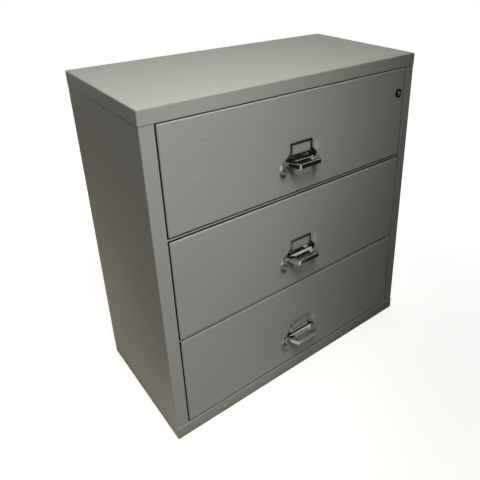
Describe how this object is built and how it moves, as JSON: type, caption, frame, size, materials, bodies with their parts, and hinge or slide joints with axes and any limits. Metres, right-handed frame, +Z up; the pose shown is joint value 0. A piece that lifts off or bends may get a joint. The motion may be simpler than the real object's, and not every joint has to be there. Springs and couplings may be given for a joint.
{
  "type": "insulated lateral file cabinet",
  "caption": "Insulated lateral file cabinet in painted steel, with wide drawers on telescopic slides, chrome pulls with label frames, thumb latches and a key lock.",
  "frame": {"origin": "on the floor, under the middle of the cabinet box", "axes": "+Z up, -Y out of the drawer fronts, +X to the right as seen from the front"},
  "size_m": [0.9524, 0.516, 1.0224],
  "materials": {
    "cabinet_paint": "satin",
    "inner_paint": "satin",
    "insulation": "matte",
    "slide_steel": "satin",
    "pull_chrome": "polished",
    "lock_steel": "satin",
    "bumper_rubber": "matte"
  },
  "bodies": {
    "cabinet": {"top_cap": "cabinet_paint", "left_side_panel": "cabinet_paint", "right_side_panel": "cabinet_paint", "back_panel": "cabinet_paint", "base_frame": "cabinet_paint", "upper_rail": "cabinet_paint", "lower_rail": "cabinet_paint", "left_insulation": "insulation", "right_insulation": "insulation", "back_insulation": "insulation", "top_insulation": "insulation", "bottom_insulation": "insulation", "upper_divider_insulation": "insulation", "lower_divider_insulation": "insulation", "liner_1": "inner_paint", "liner_2": "inner_paint", "liner_3": "inner_paint", "drawer_1_outer_slides": "slide_steel", "drawer_2_outer_slides": "slide_steel", "drawer_3_outer_slides": "slide_steel", "drawer_bumpers": "bumper_rubber"},
    "drawer_1": {"drawer_1_front": "cabinet_paint", "drawer_1_head_insulation": "insulation", "drawer_1_head_pan": "inner_paint", "drawer_1_tray": "inner_paint", "drawer_1_folder_rails": "slide_steel", "drawer_1_inner_slides": "slide_steel", "drawer_1_handle": "pull_chrome", "drawer_1_handle_screws": "slide_steel", "lock_barrel": "lock_steel"},
    "slide_mid_1": {"drawer_1_middle_slides": "slide_steel"},
    "thumb_1": {"drawer_1_thumb_lever": "pull_chrome"},
    "latch_rod_1": {"drawer_1_latch_rod": "slide_steel"},
    "drawer_2": {"drawer_2_front": "cabinet_paint", "drawer_2_head_insulation": "insulation", "drawer_2_head_pan": "inner_paint", "drawer_2_tray": "inner_paint", "drawer_2_folder_rails": "slide_steel", "drawer_2_inner_slides": "slide_steel", "drawer_2_handle": "pull_chrome", "drawer_2_handle_screws": "slide_steel"},
    "slide_mid_2": {"drawer_2_middle_slides": "slide_steel"},
    "thumb_2": {"drawer_2_thumb_lever": "pull_chrome"},
    "latch_rod_2": {"drawer_2_latch_rod": "slide_steel"},
    "drawer_3": {"drawer_3_front": "cabinet_paint", "drawer_3_head_insulation": "insulation", "drawer_3_head_pan": "inner_paint", "drawer_3_tray": "inner_paint", "drawer_3_folder_rails": "slide_steel", "drawer_3_inner_slides": "slide_steel", "drawer_3_handle": "pull_chrome", "drawer_3_handle_screws": "slide_steel"},
    "slide_mid_3": {"drawer_3_middle_slides": "slide_steel"},
    "thumb_3": {"drawer_3_thumb_lever": "pull_chrome"},
    "latch_rod_3": {"drawer_3_latch_rod": "slide_steel"},
    "lock_plug": {"lock_plug": "lock_steel"},
    "lock_bar": {"lock_bar": "slide_steel"}
  },
  "joints": [
    {"name": "drawer_1_slide", "type": "slide", "parent": "cabinet", "child": "drawer_1", "axis": [0, -1, 0], "range_m": [0, 0.34]},
    {"name": "drawer_1_middle_slide", "type": "slide", "parent": "cabinet", "child": "slide_mid_1", "axis": [0, -1, 0], "range_m": [0, 0.17]},
    {"name": "drawer_1_thumb_turn", "type": "hinge", "parent": "drawer_1", "child": "thumb_1", "pos_m": [-0.068, -0.2365, 0.78045], "axis": [0, -1, 0], "range_deg": [0, 12], "stiffness_Nm_per_rad": 0.4},
    {"name": "drawer_1_latch_draw", "type": "slide", "parent": "drawer_1", "child": "latch_rod_1", "axis": [1, 0, 0], "range_m": [0, 0.00293]},
    {"name": "drawer_2_slide", "type": "slide", "parent": "cabinet", "child": "drawer_2", "axis": [0, -1, 0], "range_m": [0, 0.34]},
    {"name": "drawer_2_middle_slide", "type": "slide", "parent": "cabinet", "child": "slide_mid_2", "axis": [0, -1, 0], "range_m": [0, 0.17]},
    {"name": "drawer_2_thumb_turn", "type": "hinge", "parent": "drawer_2", "child": "thumb_2", "pos_m": [-0.068, -0.2365, 0.462], "axis": [0, -1, 0], "range_deg": [0, 12], "stiffness_Nm_per_rad": 0.4},
    {"name": "drawer_2_latch_draw", "type": "slide", "parent": "drawer_2", "child": "latch_rod_2", "axis": [1, 0, 0], "range_m": [0, 0.00293]},
    {"name": "drawer_3_slide", "type": "slide", "parent": "cabinet", "child": "drawer_3", "axis": [0, -1, 0], "range_m": [0, 0.34]},
    {"name": "drawer_3_middle_slide", "type": "slide", "parent": "cabinet", "child": "slide_mid_3", "axis": [0, -1, 0], "range_m": [0, 0.17]},
    {"name": "drawer_3_thumb_turn", "type": "hinge", "parent": "drawer_3", "child": "thumb_3", "pos_m": [-0.068, -0.2365, 0.14725], "axis": [0, -1, 0], "range_deg": [0, 12], "stiffness_Nm_per_rad": 0.4},
    {"name": "drawer_3_latch_draw", "type": "slide", "parent": "drawer_3", "child": "latch_rod_3", "axis": [1, 0, 0], "range_m": [0, 0.00293]},
    {"name": "lock_turn", "type": "hinge", "parent": "drawer_1", "child": "lock_plug", "pos_m": [0.407, -0.2, 0.901], "axis": [0, -1, 0], "range_deg": [0, 90]},
    {"name": "lock_bar_lift", "type": "slide", "parent": "cabinet", "child": "lock_bar", "axis": [0, 0, 1], "range_m": [0, 0.01]}
  ],
  "couplings": [
    {"joint": "drawer_1_middle_slide", "follows": "drawer_1_slide", "ratio": 0.5},
    {"joint": "drawer_1_thumb_turn", "follows": "drawer_1_latch_draw", "rad_per_m": 71.429},
    {"joint": "drawer_2_middle_slide", "follows": "drawer_2_slide", "ratio": 0.5},
    {"joint": "drawer_2_thumb_turn", "follows": "drawer_2_latch_draw", "rad_per_m": 71.429},
    {"joint": "drawer_3_middle_slide", "follows": "drawer_3_slide", "ratio": 0.5},
    {"joint": "drawer_3_thumb_turn", "follows": "drawer_3_latch_draw", "rad_per_m": 71.429},
    {"joint": "lock_turn", "follows": "lock_bar_lift", "rad_per_m": 157.08}
  ]
}
